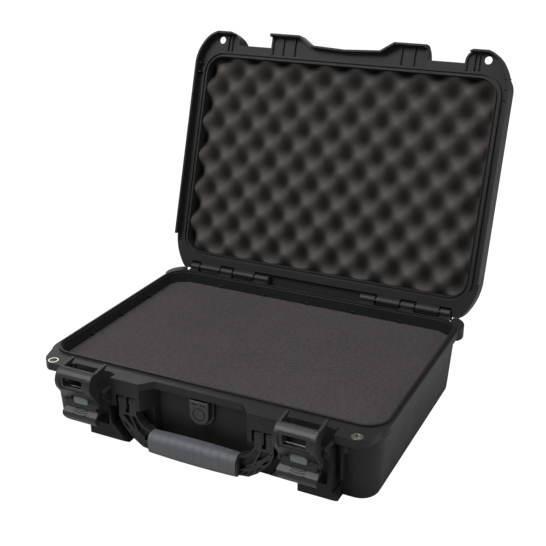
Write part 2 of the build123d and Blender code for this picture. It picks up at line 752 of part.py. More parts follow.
with BuildPart() as lid_shell:
    # Rim with its skirt and lugs, and the channel inside the skirt.
    low_blocks = (*lid_flare, (gap_inner, block_lid_reach))
    with BuildSketch(LID.offset(lid_z(-skirt_drop))) as low_band:
        lid_band(low_blocks, lug_corner_low, lid_lug_end)
    extrude(low_band.sketch, amount=skirt_drop + lug_plate_rise)
    everywhere = (-side_x - 1, side_x + 1)
    below_rim = (lid_z(-skirt_drop) - 1, lid_z(parting_gap))
    block(LID, everywhere, (-skirt_end, cover_rear), below_rim, mode=Mode.SUBTRACT)
    with BuildSketch(LID.offset(lid_z(-skirt_drop) - 1)) as channel:
        lid_band(low_blocks, lug_corner_low, lid_lug_end)
        offset(amount=-skirt_wall, kind=Kind.INTERSECTION, mode=Mode.REPLACE)
        with Locations((0, cavity_width / 2 - channel_end)):
            Rectangle(2 * side_x, cavity_width, mode=Mode.SUBTRACT)
    extrude(channel.sketch, amount=skirt_drop + 1 + channel_rise, mode=Mode.SUBTRACT)
    high_blocks = ((gap_inner, lid_centre_reach),)
    with BuildSketch(LID.offset(lid_z(lug_plate_rise))) as high_band:
        lid_band(high_blocks, lug_corner_high)
    extrude(high_band.sketch, amount=skirt_height - lug_plate_rise)
    lip_top = parting_gap + lip_height
    lip_corner = cavity_corner + lip_overhang
    tub(LID, lip_overhang, lip_overhang, lid_z(parting_gap), lid_z(lip_top), lip_corner)

    for side in (-1, 1):
        # Rounded block beside the latch, its flare, and the lug's rounded inner end.
        block_side = [(lid_y(reach(forward)), lid_z(rise)) for forward, rise in block_profile]
        block_side += [(lid_y(reach(latch_gap_reach)), lid_z(skirt_height))]
        block_side += [(lid_y(reach(latch_gap_reach)), lid_z(channel_rise))]
        prism(LID_SIDE, block_side, *span(side, lid_flare[1][0], gap_inner))
        flare_plan = [(x, lid_y(reach(forward))) for x, forward in lid_flare]
        flare_plan += [(lid_flare[1][0], lid_y(reach(latch_gap_reach)))]
        flare_plan += [(lid_flare[0][0], lid_y(reach(latch_gap_reach)))]
        prism(LID, flipped(flare_plan, side), lid_z(channel_rise), lid_z(flare_rise))
        gusset = [(lid_y(reach(forward)), lid_z(rise)) for forward, rise in gusset_profile]
        gusset += [(lid_y(reach(0.5)), lid_z(channel_rise))]
        prism(LID_SIDE, gusset, *span(side, gap_outer, gap_outer + lid_lug_end[-1][0]))
        end_points = [(side * (gap_outer + x), lid_y(reach(forward))) for x, forward in lid_lug_end]
        beyond = (side * (gap_outer - 1), lid_y(reach(lid_lug_reach + 1)))
        with BuildSketch(LID.offset(lid_z(-skirt_drop) - 1)) as beside_lug:
            with BuildLine():
                arcs(end_points)
                Polyline(
                    end_points[-1],
                    (end_points[-1][0], beyond[1]),
                    beyond,
                    (beyond[0], end_points[0][1]),
                    end_points[0],
                )
            make_face()
        extrude(beside_lug.sketch, amount=skirt_drop + lid_depth, mode=Mode.SUBTRACT)

        # Nothing hangs below the rim in the latch gap but the ledge over it.
        gap_y = (lid_y(reach(block_lid_reach + 1)), lid_y(reach(lip_overhang)))
        block(LID, span(side, gap_inner, gap_outer), gap_y, below_rim, mode=Mode.SUBTRACT)
        fascia_y = (lid_y(reach(padlock_lug_reach + skirt_clearance)), gap_y[1])
        lug_end_x = gap_outer + lid_lug_end[-1][0]
        fascia_x = span(side, gap_inner - skirt_wall - 1, lug_end_x + 1)
        block(LID, fascia_x, fascia_y, below_rim, mode=Mode.SUBTRACT)
        ledge_y = (lid_y(reach(ledge_reach)), lid_y(reach(lip_overhang - 1)))
        ledge_z = (lid_z(parting_gap), lid_z(parting_gap + ledge_height))
        block(LID, span(side, gap_inner - 1, gap_outer + 1), ledge_y, ledge_z)

        # Ribs in the blocks, the lugs and the channel along the side.
        shallow = (lid_z(parting_gap), lid_z(channel_rise))
        for rib_x in block_ribs:
            rib_y = (lid_y(reach(block_lid_reach - 1)), lid_y(reach(lip_overhang - 1)))
            block(LID, span(side, rib_x, rib_x + lug_rib_width), rib_y, shallow)
        for rib_x in lug_ribs:
            rib_y = (lid_y(reach(lid_lug_reach - 1)), lid_y(reach(lip_overhang - 1)))
            block(LID, span(side, rib_x, rib_x + lug_rib_width), rib_y, shallow)
        for rib_reach in side_ribs:
            rib_y = (lid_y(reach(rib_reach)), lid_y(reach(rib_reach - lug_rib_width)))
            rib_x = span(side, cavity_length / 2 + rim_overhang + side_rib_clearance, side_x - 1)
            block(LID, rib_x, rib_y, (lid_z(-skirt_drop / 2), lid_z(channel_rise)))

    # Wall and crown.
    tub(LID, wall, wall, lid_z(lip_top), lid_z(lid_depth), cavity_corner + wall, draft)
    lid_up = Axis(LID.origin, LID.z_dir)
    fillet(lid_shell.faces().sort_by(lid_up)[-1].edges(), crown_round)

    # Plate behind the hinge's knuckles.
    cover_z = (knuckle_radius + cover_clearance, knuckle_radius + cover_clearance + cover_thickness)
    cover_x = (-hinge_outer - rear_corner_gap, hinge_outer + rear_corner_gap)
    block(LID, cover_x, (-cover_front, cover_rear), cover_z)

    # Crown: a shallow panel with ridges and a blank plate, and four stacking bosses.
    crown = lid_z(lid_depth)
    panel_floor = crown - crown_panel_depth
    panel_span = (lid_y(-crown_panel_y), lid_y(crown_panel_y))
    block(
        LID,
        (-crown_panel_x, crown_panel_x),
        panel_span,
        (panel_floor, crown + 1),
        crown_panel_corner,
        Mode.SUBTRACT,
    )
    block(
        LID,
        (-plate_x, plate_x),
        (lid_y(-plate_y), lid_y(plate_y)),
        (panel_floor, panel_floor + plate_height),
        plate_corner,
    )
    for side in (-1, 1):
        for number in range(ridge_count):
            ridge_x = ridge_start + number * ridge_pitch
            block(
                LID,
                span(side, ridge_x, ridge_x + ridge_width),
                (lid_y(-ridge_half_length), lid_y(ridge_half_length)),
                (panel_floor, crown),
                ridge_width / 2 - 0.1,
            )
        for boss_side in (-1, 1):
            boss_centre = (side * boss_x, lid_y(boss_side * boss_y))
            rod(LID, boss_centre, boss_radius, crown - 1, crown + boss_height)

        # Padlock hole, hinge lugs and knuckles.
        hole_centre = (side * padlock_x, lid_y(reach(padlock_reach)))
        hole_cut = (lid_z(channel_rise) - 1, lid_z(lug_plate_rise) + 1)
        rod(LID, hole_centre, lid_padlock_hole, *hole_cut, mode=Mode.SUBTRACT)
        for number, knuckle in enumerate(knuckle_spans()):
            if number % 2 == 0:
                continue
            lug = [
                (-lid_rear_clearance - 2, lid_z(parting_gap)),
                (-knuckle_radius, lid_z(parting_gap)),
                (0, 0),
                (3.6, 4.2),
                (-lid_rear_clearance, lid_z(lid_lug_rise)),
                (-lid_rear_clearance - 2, lid_z(lid_lug_rise)),
            ]
            prism(LID_SIDE, lug, *span(side, *knuckle))
            rod(LID_SIDE, (0, 0), knuckle_radius, *span(side, *knuckle))
            hole = hinge_pin_radius + running_clearance
            rod(LID_SIDE, (0, 0), hole, *span(side, *knuckle), mode=Mode.SUBTRACT)

    # Inside of the lid, and the groove for the gasket and the base's tongue.
    inside_top = lid_z(lid_depth - lid_floor)
    tub(LID, 0, 0, lid_z(parting_gap), inside_top, cavity_corner, draft, Mode.SUBTRACT)
    groove_inner = tongue_setback - groove_clearance
    groove_outer = tongue_setback + tongue_width + groove_clearance
    groove_top = lid_z(groove_depth)
    with BuildSketch(LID.offset(lid_z(parting_gap))) as groove:
        with Locations((0, lid_y(0))):
            RectangleRounded(
                cavity_length + 2 * groove_outer,
                cavity_width + 2 * groove_outer,
                cavity_corner + groove_outer,
            )
            RectangleRounded(
                cavity_length + 2 * groove_inner,
                cavity_width + 2 * groove_inner,
                cavity_corner + groove_inner,
                mode=Mode.SUBTRACT,
            )
    extrude(groove.sketch, amount=groove_depth - parting_gap, mode=Mode.SUBTRACT)
lid_shell.part.label = "lid_shell"

with BuildPart() as lid_gasket:
    with BuildSketch(LID.offset(lid_z(groove_depth - gasket_height))) as gasket:
        with Locations((0, lid_y(0))):
            RectangleRounded(
                cavity_length + 2 * groove_outer,
                cavity_width + 2 * groove_outer,
                cavity_corner + groove_outer,
            )
            RectangleRounded(
                cavity_length + 2 * groove_inner,
                cavity_width + 2 * groove_inner,
                cavity_corner + groove_inner,
                mode=Mode.SUBTRACT,
            )
    extrude(gasket.sketch, amount=gasket_height)
lid_gasket.part.label = "lid_gasket"

# ---- Egg-crate foam in the lid -----------------------------------------------------
crate_steps = 8  # surface points to a pitch


def crate_rise(x, y):
    """Height of the egg-crate surface above the rim, lid closed."""
    wave_x = cos(2 * pi * (x - crate_phase_x) / crate_pitch_x)
    wave_y = cos(2 * pi * (y - crate_phase_y) / crate_pitch_y)
    return crate_middle_rise + crate_amplitude * wave_x * wave_y


columns = int(cavity_length / crate_pitch_x * crate_steps / 2) + 2
rows = int(cavity_width / crate_pitch_y * crate_steps / 2) + 2
crate_points = []
for row in range(-rows, rows + 1):
    y = row * crate_pitch_y / crate_steps
    line = []
    for column in range(-columns, columns + 1):
        x = column * crate_pitch_x / crate_steps
        line.append(LID.from_local_coords(Vector(x, lid_y(y), lid_z(crate_rise(x, y)))))
    crate_points.append(line)
crate_surface = Face.make_surface_from_array_of_points(crate_points, tol=0.05, max_deg=3)

with BuildPart() as lid_foam:
    foam_back = lid_depth - lid_floor - foam_clearance
    back_inset = foam_clearance + foam_back * sin(radians(draft)) / cos(radians(draft))
    back_corner = cavity_corner - back_inset
    tub(LID, -back_inset, -back_inset, lid_z(foam_back), lid_z(0), back_corner, -draft)
    split(bisect_by=crate_surface, keep=Keep.BOTTOM)
lid_foam.part.label = "lid_foam"

# ---- Handle ------------------------------------------------------------------------
handle_y = reach(handle_axis_reach)
handle_z = drop(handle_axis_drop)
FRONT = Plane.XZ  # its offsets run forward, towards -Y


def arm_outline(side, inset=0.0):
    """Face of one arm seen from the front, from its fork down to the grip."""
    points = [
        (arm_outer, drop(arm_root_drop)),
        (arm_outer, drop(50.0)),
        (96.5, drop(60.0)),
        (90.0, drop(68.0)),
        (81.0, drop(77.0)),
        (70.0, drop(84.5)),
        (grip_half_length, drop(86.0)),
        (grip_half_length, drop(61.0)),
        (66.0, drop(57.5)),
        (73.0, drop(51.5)),
        (arm_inner, drop(arm_root_drop)),
    ]
    with BuildLine() as border:
        Polyline(flipped(points, side), close=True)
    make_face(border.edges())
    if inset:
        offset(amount=-inset, kind=Kind.INTERSECTION, mode=Mode.REPLACE)


with BuildPart() as handle_frame:
    grip_y = reach(grip_reach)
    bar_y = (grip_y - bar_depth / 2, grip_y + bar_depth / 2)
    bar_z = (drop(grip_drop + bar_height / 2), drop(grip_drop - bar_height / 2))
    bar_end = grip_half_length + arm_skin
    block(GROUND, (-bar_end, bar_end), bar_y, bar_z)
    for side in (-1, 1):
        with BuildSketch(FRONT.offset(-handle_y - arm_depth / 2)):
            arm_outline(side)
        extrude(amount=arm_depth)
        pocket_depth = (arm_depth - arm_web) / 2
        for start in (-handle_y - arm_depth / 2, -handle_y + arm_depth / 2 - pocket_depth):
            with BuildSketch(FRONT.offset(start)) as pockets:
                arm_outline(side, arm_skin)
                rib_places = ((91.5, drop(55.0), 35), (83.0, drop(64.0), 50), (73.0, drop(72.5), 65))
                for rib_x, rib_z, angle in rib_places:
                    with Locations((side * rib_x, rib_z)):
                        Rectangle(60, arm_skin, rotation=-side * angle + 90, mode=Mode.SUBTRACT)
                        Rectangle(60, arm_skin, rotation=side * angle, mode=Mode.SUBTRACT)
            extrude(amount=pocket_depth, mode=Mode.SUBTRACT)
        prongs = (
            (arm_inner, slot_web_x - slot_web / 2 - prong_clearance),
            (slot_web_x + slot_web / 2 + prong_clearance, arm_outer),
        )
        for near, far in prongs:
            prong_y = (handle_y - arm_depth / 2, handle_y + arm_depth / 2)
            prong_z = (drop(arm_root_drop + 1), handle_z)
            block(GROUND, span(side, near, far), prong_y, prong_z)
            rod(SIDE, (handle_y, handle_z), prong_radius, *span(side, near, far))
            hole = handle_pin_radius + running_clearance
            prong_x = span(side, near, far)
            rod(SIDE, (handle_y, handle_z), hole, *prong_x, mode=Mode.SUBTRACT)
handle_frame.part.label = "handle_frame"

with BuildPart() as handle_grip:
    stations = (
        (-grip_half_length, grip_end_slimmer),
        (-grip_half_length / 2, grip_end_slimmer / 4),
        (0, 0),
        (grip_half_length / 2, grip_end_slimmer / 4),
        (grip_half_length, grip_end_slimmer),
    )
    for station, slimmer in stations:
        with BuildSketch(SIDE.offset(station)):
            with Locations((grip_y, drop(grip_drop))):
                RectangleRounded(grip_depth - slimmer, grip_height - slimmer, grip_corner)
    loft()
    block(GROUND, (-grip_half_length, grip_half_length), bar_y, bar_z, mode=Mode.SUBTRACT)
handle_grip.part.label = "handle_grip"

with BuildPart() as handle_pins:
    pin_span = (fascia_inner + handle_pin_end_wall, pad_outer - handle_pin_end_wall)
    for side in (-1, 1):
        rod(SIDE, (handle_y, handle_z), handle_pin_radius, *span(side, *pin_span))
handle_pins.part.label = "handle_pins"

# ---- Latches -----------------------------------------------------------------------
# Outlines are seen from the side: forward is negative, up is positive, from the pin.
claw_toe = (-4.5, -17.0)
claw_knee = (-21.5, 8.0)
claw_brow = (-13.6, 32.3)
claw_rear = (
    (-11.0, 31.0),
    (11.5, 33.2),
    (11.5, 30.6),
    (0.4, 25.6),
    (-7.1, 19.8),
    (-9.5, 11.8),
    (0.0, 5.0),
    (4.5, -2.0),
    (-1.5, -15.0),
)
claw_hollow = (
    (-1.0, -24.0),
    (-1.6, -15.6),
    (-9.1, -6.4),
    (-16.6, 5.1),
    (-21.1, 15.9),
    (-20.6, 23.1),
    (-17.4, 27.0),
    (-12.6, 28.4),
    (-9.0, 28.1),
    (-9.0, 36.0),
    (20.0, 36.0),
    (20.0, -24.0),
)
window_bed = ((-40, 8), (-20.6, 8), (-23, 15.3), (-23.1, 20), (-22.5, 24.1), (-20.9, 27), (-40, 27))
tab_brow = (-4.2, -7.8)
tab_knee = (-9.8, -12.2)
tab_foot_z = -28.5
tab_side = (
    (0.0, -5.3),
    tab_brow,
    tab_knee,
    (-11.0, -14.4),
    (-11.0, -16.8),
    (-9.4, -19.8),
    (-6.4, -23.8),
    (-3.2, -26.8),
    (0.5, tab_foot_z),
    (2.6, -27.0),
    (-1.2, -23.5),
    (-6.2, -16.5),
    (-5.8, -14.5),
    (1.5, -9.5),
    (4.0, -5.3),
)
latch_parts = {}
for side, side_name in ((-1, "left"), (1, "right")):
    centre = side * latch_x
    claw_y = reach(claw_pin_reach)
    claw_z = drop(claw_pin_drop)
    lever_y = reach(lever_pin_reach)
    lever_z = drop(lever_pin_drop)
    CLAW = Plane(origin=(centre, claw_y, claw_z), x_dir=(0, 1, 0), z_dir=(1, 0, 0))
    CLAW_FRONT = Plane(origin=(centre, claw_y, claw_z), x_dir=(1, 0, 0), z_dir=(0, -1, 0))
    LEVER = Plane(origin=(centre, lever_y, lever_z), x_dir=(0, 1, 0), z_dir=(1, 0, 0))
    LEVER_FRONT = Plane(origin=(centre, lever_y, lever_z), x_dir=(1, 0, 0), z_dir=(0, -1, 0))
    lever_place = (lever_y - claw_y, lever_z - claw_z)
    brow_run = (tab_knee[0] - tab_brow[0], tab_knee[1] - tab_brow[1])
    BROW = Plane(
        origin=LEVER.from_local_coords(Vector(tab_brow[0], tab_brow[1], 0)),
        x_dir=(1, 0, 0),
        z_dir=(0, brow_run[1], -brow_run[0]),
    )
    half_inside = claw_half_width - claw_cheek

    with BuildPart() as claw:
        with BuildSketch(CLAW.offset(-claw_half_width)):
            with BuildLine():
                shin = Line(claw_toe, claw_knee)
                TangentArc(claw_knee, claw_brow, tangent=shin % 1)
                Polyline(claw_brow, *claw_rear, claw_toe)
            make_face()
        extrude(amount=2 * claw_half_width)
        long_edges = claw.edges().filter_by(lambda edge: edge.length > claw_half_width)
        fillet(long_edges.filter_by(Axis.X, reverse=True), claw_edge_round)
        rod(CLAW, (0, 0), claw_boss_radius, -claw_half_width, claw_half_width)
        rod(CLAW, lever_place, lever_boss_radius, -claw_half_width, claw_half_width)
        prism(CLAW, claw_hollow, -half_inside, half_inside, Mode.SUBTRACT)
        half_bed = window_half_width + window_frame
        prism(CLAW, window_bed, -half_bed, half_bed, Mode.SUBTRACT)
        window_x = (-window_half_width, window_half_width)
        block(CLAW_FRONT, window_x, (12, 24), (14, 30), 1.5, Mode.SUBTRACT)
        with BuildSketch(CLAW_FRONT.offset(-claw_boss_radius - 1)):
            with BuildLine():
                Polyline((-12.4, -5), (-13.5, -9.2), (-half_inside, -9.5), (-half_inside, -30))
                Polyline((-half_inside, -30), (half_inside, -30), (half_inside, -9.5))
                Polyline((half_inside, -9.5), (13.5, -9.2), (12.4, -5))
                ThreePointArc((12.4, -5), (0, -0.6), (-12.4, -5))
            make_face()
        extrude(amount=40, mode=Mode.SUBTRACT)
        hole = latch_pin_radius + running_clearance
        whole = (-claw_half_width, claw_half_width)
        rod(CLAW, (0, 0), hole, *whole, mode=Mode.SUBTRACT)
        rod(CLAW, lever_place, hole, *whole, mode=Mode.SUBTRACT)
    latch_parts[side_name + "_claw"] = claw.part

    with BuildPart() as claw_pin:
        pin_half = claw_half_width + ear_clearance + ear_thickness
        rod(CLAW, (0, 0), latch_pin_radius, -pin_half, pin_half)
    latch_parts[side_name + "_claw_pin"] = claw_pin.part

    with BuildPart() as lever_pins:
        for pin_side in (-1, 1):
            stub = span(pin_side, stub_pin_start, claw_half_width - 0.2)
            rod(LEVER, (0, 0), latch_pin_radius, *stub)
    latch_parts[side_name + "_lever_pins"] = lever_pins.part

    with BuildPart() as lever:
        barrel_half = half_inside - barrel_clearance
        prism(LEVER, tab_side, -tab_half_width, tab_half_width)
        with BuildSketch(LEVER_FRONT.offset(-10)) as tab_shape:
            top = tab_side[0][1]
            with BuildLine():
                Polyline(
                    (-tab_half_width, top),
                    (-tab_foot_half_width, tab_foot_z),
                    (tab_foot_half_width, tab_foot_z),
                    (tab_half_width, top),
                    close=True,
                )
            make_face()
            fillet(tab_shape.vertices().group_by(Axis.Z)[0], tab_corner)
        extrude(amount=30, mode=Mode.INTERSECT)
        neck = [(-barrel_radius, 0), (-4.2, -8.2), (1.6, -9.5), (barrel_radius, -4)]
        neck.append((barrel_radius, 0))
        prism(LEVER, neck, -barrel_half, barrel_half)
        rod(LEVER, (0, 0), barrel_radius, -barrel_half, barrel_half)
        boss = [(-boss_front, 0), (-boss_front, boss_top), (boss_back, boss_top), (boss_back, 0)]
        prism(LEVER, boss, -boss_half_width, boss_half_width)
        pocket_x = button_width / 2 + button_clearance
        pocket_z = button_height / 2 + button_clearance
        button_back = boss_front + button_proud - button_depth
        pocket_floor = button_back - button_travel - spring_gap
        block(
            LEVER_FRONT,
            (-pocket_x, pocket_x),
            (button_rise - pocket_z, button_rise + pocket_z),
            (pocket_floor, 12),
            2.5 + button_clearance,
            Mode.SUBTRACT,
        )
        for number in range(smile_rib_count):
            rib_y = smile_rib_start - number * smile_rib_pitch
            with BuildSketch(BROW) as smile:
                with BuildLine():
                    end = smile_rib_half_length
                    low = rib_y - smile_rib_width
                    ThreePointArc((-end, rib_y), (0, rib_y - smile_rib_sag), (end, rib_y))
                    Line((end, rib_y), (end, low))
                    ThreePointArc((end, low), (0, low - smile_rib_sag), (-end, low))
                    Line((-end, low), (-end, rib_y))
                make_face()
            extrude(smile.sketch, amount=smile_rib_height)
            extrude(smile.sketch, amount=-smile_rib_height)
        for pin_side in (-1, 1):
            stub = span(pin_side, stub_pin_start, claw_half_width)
            rod(LEVER, (0, 0), latch_pin_radius + running_clearance, *stub, mode=Mode.SUBTRACT)
    latch_parts[side_name + "_lever"] = lever.part

    with BuildPart() as button:
        block(
            LEVER_FRONT,
            (-button_width / 2, button_width / 2),
            (button_rise - button_height / 2, button_rise + button_height / 2),
            (button_back, button_back + button_depth),
            2.5,
        )
        fillet(button.faces().sort_by(Axis.Y)[0].edges(), 0.9)
        bore = (button_back, button_back + spring_gap + button_travel)
        bore_radius = spring_radius + button_clearance
        rod(LEVER_FRONT, (0, button_rise), bore_radius, *bore, mode=Mode.SUBTRACT)
    latch_parts[side_name + "_release_button"] = button.part

    with BuildPart() as spring:
        spring_span = (pocket_floor, button_back + spring_gap)
        rod(LEVER_FRONT, (0, button_rise), spring_radius, *spring_span)
        inner = spring_radius - spring_wall
        rod(LEVER_FRONT, (0, button_rise), inner, *spring_span, mode=Mode.SUBTRACT)
    latch_parts[side_name + "_button_spring"] = spring.part

# ---- Output ------------------------------------------------------------------------
pieces = {
    "base_shell": base_shell.part,
    "base_padlock_sleeves": base_padlock_sleeves.part,
    "vent_body": vent_body.part,
    "vent_membrane": vent_membrane.part,
    "vent_retainer": vent_retainer.part,
    "hinge_pins": hinge_pins.part,
    "lid_shell": lid_shell.part,
    "lid_gasket": lid_gasket.part,
    "lid_foam": lid_foam.part,
    "handle_frame": handle_frame.part,
    "handle_grip": handle_grip.part,
    "handle_pins": handle_pins.part,
}
pieces.update(foam_sheets)
pieces.update(latch_parts)
for name, piece in pieces.items():
    piece.label = name
    export_step(piece, f"parts/{name}.step")
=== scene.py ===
"""Looks of the hard equipment case: an open moulded case with foam, handle and two latches.

Everything is in metres, in the CAD frame: +X is the case's right, -Y its front, +Z up.
"""

import json
from math import cos, pi, radians, sin

import bpy
from mathutils import Matrix, Vector


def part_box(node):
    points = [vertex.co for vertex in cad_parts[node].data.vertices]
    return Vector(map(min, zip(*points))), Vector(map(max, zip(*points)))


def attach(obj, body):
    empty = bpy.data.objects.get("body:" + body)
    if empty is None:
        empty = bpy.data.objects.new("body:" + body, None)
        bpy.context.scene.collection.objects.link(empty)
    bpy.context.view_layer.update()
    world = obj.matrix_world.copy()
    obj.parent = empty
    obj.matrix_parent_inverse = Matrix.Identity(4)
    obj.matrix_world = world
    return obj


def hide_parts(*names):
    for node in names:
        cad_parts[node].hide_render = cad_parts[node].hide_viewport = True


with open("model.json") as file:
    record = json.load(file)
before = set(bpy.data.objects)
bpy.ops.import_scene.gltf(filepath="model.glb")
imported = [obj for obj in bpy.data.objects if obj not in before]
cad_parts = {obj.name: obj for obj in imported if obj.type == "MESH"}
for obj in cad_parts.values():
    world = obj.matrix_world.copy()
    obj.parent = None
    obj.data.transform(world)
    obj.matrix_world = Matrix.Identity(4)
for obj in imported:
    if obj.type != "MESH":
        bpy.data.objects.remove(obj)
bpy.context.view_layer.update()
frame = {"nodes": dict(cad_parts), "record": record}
nodes = frame["nodes"]

# ---- Sizes and places that the looks share with the construction -------------------
LID_ANGLE = radians(107.5)
HINGE = Vector((0, 0.1662, 0.0915))
HINGE_RISE = 0.0015
CAVITY_LENGTH = 0.424
CAVITY_WIDTH = 0.287
CAVITY_CORNER = 0.024
DRAFT = radians(4)
CRATE_PITCH = (0.0458, 0.0497)
CRATE_PIT = (0.0152, -0.1228)
CRATE_MIDDLE = 0.012
CRATE_AMPLITUDE = 0.0095
CRATE_BACK = 0.053
CRATE_COUNTS = (240, 160)  # quads along and across the egg-crate face
FOAM_CLEARANCE = 0.0005
FOAM_COUNTS = (40, 30)
GRIP_RIDGE_PITCH = 0.011

# ---- Camera and stage --------------------------------------------------------------
CAMERA_PLACE = (0.48579, -0.96204, 0.61768)
CAMERA_AZIMUTH = radians(25.985)
CAMERA_ELEVATION = radians(22.275)
CAMERA_LENS = 62.47
CAMERA_SENSOR = 36.0
FLOOR_HALF = 6.0
FLOOR_GREY = 0.5
FLOOR_GLOW = 1.2  # what the camera sees of the floor, with its shadow on top
FLOOR_GLOW_SHARE = 0.85
WORLD_LIGHT = 0.25
LAMPS = (  # name, place, aim, size, watts
    ("key", (-0.9, -1.2, 1.9), (0, 0.05, 0.15), (1.2, 1.2), 42),
    ("right", (1.7, -0.2, 0.9), (0, 0, 0.1), (1.2, 1.0), 9),
    ("back", (-0.9, 1.9, 1.2), (0, 0, 0.1), (2.4, 0.9), 12),
    ("top", (0.1, 0.2, 2.2), (0, 0.05, 0.1), (1.6, 1.2), 25),
)

LID_TURN = Matrix.Rotation(-LID_ANGLE, 4, "X")
LID_PLACE = Matrix.Translation(HINGE) @ LID_TURN


def lid_point(x, y, rise):
    """A point of the open lid, from its place with the lid closed and its rise over the rim."""
    return LID_PLACE @ Vector((x, y - HINGE.y, rise - HINGE_RISE))


# ---- Shader maths ------------------------------------------------------------------
class Socket:
    """An output socket of a material. Arithmetic on it adds Math nodes."""

    def __init__(self, finish, output):
        self.finish = finish
        self.output = output

    def math(self, operation, *values):
        return self.finish.add("ShaderNodeMath", {"operation": operation}, values)

    def __add__(self, other):
        return self.math("ADD", self, other)

    def __sub__(self, other):
        return self.math("SUBTRACT", self, other)

    def __rsub__(self, other):
        return self.math("SUBTRACT", other, self)

    def __mul__(self, other):
        return self.math("MULTIPLY", self, other)

    def clamped(self):
        return self.math("MINIMUM", self.math("MAXIMUM", self, 0.0), 1.0)

    def power(self, exponent):
        return self.math("POWER", self, exponent)

    def sine(self):
        return self.math("SINE", self)


class Finish:
    """A material under construction: one Principled BSDF and the nodes that feed it."""

    def __init__(self, name, **constants):
        self.material = bpy.data.materials.new(name)
        self.material.use_nodes = True
        self.tree = self.material.node_tree
        self.shader = self.tree.nodes["Principled BSDF"]
        for socket, value in constants.items():
            self.shader.inputs[socket.replace("_", " ")].default_value = value
        self.place = self.add("ShaderNodeTexCoord", output="Object")

    def add(self, kind, settings=None, values=(), output=0):
        """Add a node: its settings first, then the values or links of its sockets."""
        node = self.tree.nodes.new(kind)
        for key, value in (settings or {}).items():
            setattr(node, key, value)
        pairs = values.items() if isinstance(values, dict) else enumerate(values)
        for key, value in pairs:
            if isinstance(value, Socket):
                self.tree.links.new(value.output, node.inputs[key])
            else:
                node.inputs[key].default_value = value
        return Socket(self, node.outputs[output])

    def feed(self, socket, value):
        self.tree.links.new(value.output, self.shader.inputs[socket])

    def noise(self, scale, detail=2.0, roughness=0.5, place=None):
        values = {
            "Vector": place or self.place,
            "Scale": scale,
            "Detail": detail,
            "Roughness": roughness,
        }
        return self.add("ShaderNodeTexNoise", {}, values)

    def mix(self, factor, low, high):
        """Blend two colours."""
        values = {0: factor, 6: low, 7: high}
        return self.add("ShaderNodeMix", {"data_type": "RGBA"}, values, output=2)

    def bump(self, height, strength, distance, under=None):
        values = {"Height": height, "Strength": strength, "Distance": distance}
        if under:
            values["Normal"] = under
        return self.add("ShaderNodeBump", {}, values)

    def rounded(self, radius):
        """Softly rounded edges, as a mould leaves them."""
        return self.add("ShaderNodeBevel", {"samples": 6}, {"Radius": radius})


def grey(level, warmth=0.0):
    return (level * (1 + warmth), level, level * (1 - warmth), 1.0)


# ---- Finishes ----------------------------------------------------------------------
def shell_resin():
    finish = Finish("shell_resin", Roughness=0.5, Specular_IOR_Level=0.25)
    tone = finish.noise(14.0, 3.0)
    finish.feed("Base Color", finish.mix(tone, grey(0.010, 0.03), grey(0.016, 0.03)))
    smear = finish.noise(38.0, 4.0, 0.6)
    finish.feed("Roughness", smear * 0.14 + 0.38)
    grain = finish.noise(2400.0, 2.0, 0.6)
    finish.feed("Normal", finish.bump(grain, 0.35, 0.00012, finish.rounded(0.0006)))
    return finish.material


def latch_resin():
    finish = Finish("latch_resin", Roughness=0.42, Specular_IOR_Level=0.35)
    tone = finish.noise(30.0, 3.0)
    finish.feed("Base Color", finish.mix(tone, grey(0.013), grey(0.019)))
    smear = finish.noise(60.0, 4.0, 0.6)
    finish.feed("Roughness", smear * 0.12 + 0.34)
    grain = finish.noise(3000.0, 1.0)
    finish.feed("Normal", finish.bump(grain, 0.25, 0.0001, finish.rounded(0.0005)))
    return finish.material


def button_resin():
    finish = Finish("button_resin", Roughness=0.35, IOR=1.48)
    tone = finish.noise(120.0)
    low = (0.12, 0.145, 0.153, 1)
    finish.feed("Base Color", finish.mix(tone, low, (0.145, 0.17, 0.178, 1)))
    finish.feed("Normal", finish.rounded(0.0008))
    return finish.material


def grip_rubber():
    finish = Finish("grip_rubber", Roughness=0.6, IOR=1.5)
    tone = finish.noise(60.0, 3.0)
    low = (0.073, 0.080, 0.089, 1)
    finish.feed("Base Color", finish.mix(tone, low, (0.088, 0.095, 0.105, 1)))
    grain = finish.noise(1800.0, 2.0)
    across = finish.add("ShaderNodeSeparateXYZ", {}, (finish.place,))
    wave = (across * (2 * pi / GRIP_RIDGE_PITCH)).sine()
    ridges = wave.clamped().power(6.0)
    finish.feed("Normal", finish.bump(ridges + grain * 0.3, 0.7, 0.0006))
    return finish.material


def foam_cells(finish, strength):
    """Bump of open foam cells at two sizes."""
    coarse = finish.noise(700.0, 4.0, 0.7)
    fine = finish.noise(1900.0, 2.0, 0.7)
    return finish.bump(coarse + fine * 0.6, strength, 0.0006)


def pick_foam():
    finish = Finish("pick_foam", Roughness=0.95, Specular_IOR_Level=0.1)
    cloud = finish.noise(9.0, 3.0)
    grain = finish.noise(850.0, 3.0, 0.7)
    mottle = finish.noise(260.0, 2.0, 0.6)
    level = (grain * 0.5 + mottle * 0.9 + cloud * 0.3 - 0.35).clamped()
    finish.feed("Base Color", finish.mix(level, (0.024, 0.020, 0.021, 1), (0.072, 0.062, 0.063, 1)))
    finish.feed("Normal", foam_cells(finish, 0.5))
    return finish.material


